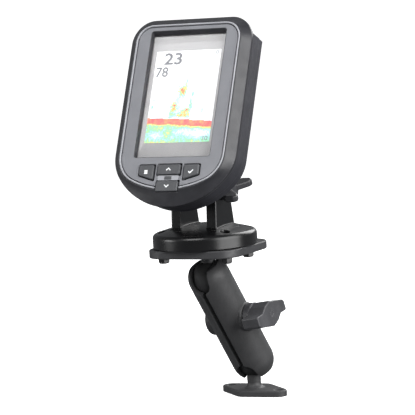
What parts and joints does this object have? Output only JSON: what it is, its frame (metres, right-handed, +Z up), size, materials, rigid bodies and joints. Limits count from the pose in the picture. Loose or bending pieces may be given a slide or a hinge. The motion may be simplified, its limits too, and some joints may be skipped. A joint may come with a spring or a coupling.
{
  "type": "fish finder",
  "caption": "Portrait colour fish finder with soft keys, on a tilting swivel gimbal carried by a ball-and-socket clamp arm that stands on a diamond-shaped screw-down foot.",
  "frame": {"origin": "centre of the underside of the diamond foot", "axes": "+Z up along the foot's stem, -Y the way the screen faces, +X to the right of someone who looks at the screen"},
  "size_m": [0.099, 0.1104, 0.285],
  "materials": {
    "powder_coat": "satin powder coat",
    "plate_coat": "fine powder coat",
    "ball_rubber": "matt",
    "steel": "brushed",
    "dark_steel": "black oxide",
    "spring_steel": "plain",
    "brass": "plain",
    "knob_plastic": "moulded grain",
    "gimbal_plastic": "smooth moulded",
    "case_plastic": "fine moulded grain",
    "rear_plastic": "fine moulded grain",
    "fascia_grey": "fine satin",
    "bead_grey": "satin",
    "key_grey": "soft touch",
    "lens": "clear",
    "mask_grey": "printed",
    "screen": "display glass",
    "frame_white": "plain",
    "membrane_rubber": "matt",
    "gasket_rubber": "matt",
    "board_green": "solder resist",
    "beeper_black": "plain"
  },
  "bodies": {
    "base": {"base_plate": "powder_coat"},
    "lower_ball": {"lower_ball_skin": "ball_rubber"},
    "arm": {"arm_inner_half": "powder_coat", "clamp_bolt": "steel", "clamp_spring": "spring_steel"},
    "clamp_half": {"arm_outer_half": "powder_coat", "clamp_washer": "steel"},
    "arm_knob": {"clamp_knob": "knob_plastic", "clamp_knob_insert": "brass"},
    "upper_ball": {"upper_ball_skin": "ball_rubber"},
    "platform": {"adapter_plate": "plate_coat", "plate_bolts": "dark_steel", "plate_washers": "steel", "plate_nuts": "dark_steel", "swivel_base": "gimbal_plastic", "swivel_screw": "dark_steel", "swivel_nut": "steel"},
    "yoke": {"swivel_turret": "gimbal_plastic", "left_leg": "gimbal_plastic", "right_leg": "gimbal_plastic", "pivot_bolt": "dark_steel", "friction_washers": "gasket_rubber"},
    "tilt_knob": {"gimbal_knob": "gimbal_plastic", "gimbal_knob_insert": "brass"},
    "head": {"neck_bracket": "rear_plastic", "neck_screws": "dark_steel", "rear_case": "rear_plastic", "case_screws": "dark_steel", "case_gasket": "gasket_rubber", "power_socket": "case_plastic", "sonar_socket": "case_plastic", "socket_pins": "brass", "front_case": "case_plastic", "fascia": "fascia_grey", "trim_bead": "bead_grey", "window_lens": "lens", "display_mask": "mask_grey", "lcd_panel": "screen", "backlight_frame": "frame_white", "keypad_membrane": "membrane_rubber", "main_circuit_board": "board_green", "beeper": "beeper_black"},
    "menu_key": {"menu_button": "key_grey"},
    "up_key": {"up_button": "key_grey"},
    "down_key": {"down_button": "key_grey"},
    "check_key": {"check_button": "key_grey"}
  },
  "joints": [
    {"name": "base_swivel", "type": "hinge", "parent": "base", "child": "lower_ball", "pos_m": [0, 0, 0.0263], "axis": [0, 0, 1], "continuous": true},
    {"name": "arm_tilt", "type": "hinge", "parent": "lower_ball", "child": "arm", "pos_m": [0, 0, 0.0263], "axis": [0.9831, -0.1259, 0.1328], "range_deg": [-45, 22]},
    {"name": "clamp_open", "type": "slide", "parent": "arm", "child": "clamp_half", "axis": [0.9831, -0.1259, 0.1328], "range_m": [0, 0.00254]},
    {"name": "clamp_knob_turn", "type": "hinge", "parent": "clamp_half", "child": "arm_knob", "pos_m": [-0.00682, -0.01777, 0.05994], "axis": [0.9831, -0.1259, 0.1328], "range_deg": [0, 720]},
    {"name": "platform_tilt", "type": "hinge", "parent": "arm", "child": "upper_ball", "pos_m": [-0.01364, -0.03554, 0.09358], "axis": [0.9831, -0.1259, 0.1328], "range_deg": [-25, 25]},
    {"name": "platform_swivel", "type": "hinge", "parent": "upper_ball", "child": "platform", "pos_m": [-0.01364, -0.03554, 0.09358], "axis": [0, 0, 1], "continuous": true},
    {"name": "gimbal_swivel", "type": "hinge", "parent": "platform", "child": "yoke", "pos_m": [-0.01364, -0.03854, 0.12908], "axis": [0, 0, 1], "continuous": true},
    {"name": "head_tilt", "type": "hinge", "parent": "yoke", "child": "head", "pos_m": [-0.01364, -0.04154, 0.15908], "axis": [1, 0, 0], "range_deg": [-35, 20]},
    {"name": "gimbal_knob_turn", "type": "hinge", "parent": "yoke", "child": "tilt_knob", "pos_m": [0.01036, -0.04154, 0.15908], "axis": [1, 0, 0], "range_deg": [0, 720]},
    {"name": "menu_press", "type": "slide", "parent": "head", "child": "menu_key", "axis": [0, 0.9114, -0.4115], "range_m": [0, 0.0008], "stiffness_N_per_m": 1500, "springref_m": -0.0004},
    {"name": "up_press", "type": "slide", "parent": "head", "child": "up_key", "axis": [0, 0.9114, -0.4115], "range_m": [0, 0.0008], "stiffness_N_per_m": 1500, "springref_m": -0.0004},
    {"name": "down_press", "type": "slide", "parent": "head", "child": "down_key", "axis": [0, 0.9114, -0.4115], "range_m": [0, 0.0008], "stiffness_N_per_m": 1500, "springref_m": -0.0004},
    {"name": "check_press", "type": "slide", "parent": "head", "child": "check_key", "axis": [0, 0.9114, -0.4115], "range_m": [0, 0.0008], "stiffness_N_per_m": 1500, "springref_m": -0.0004}
  ],
  "couplings": [
    {"joint": "clamp_knob_turn", "follows": "clamp_open", "rad_per_m": 4947}
  ]
}
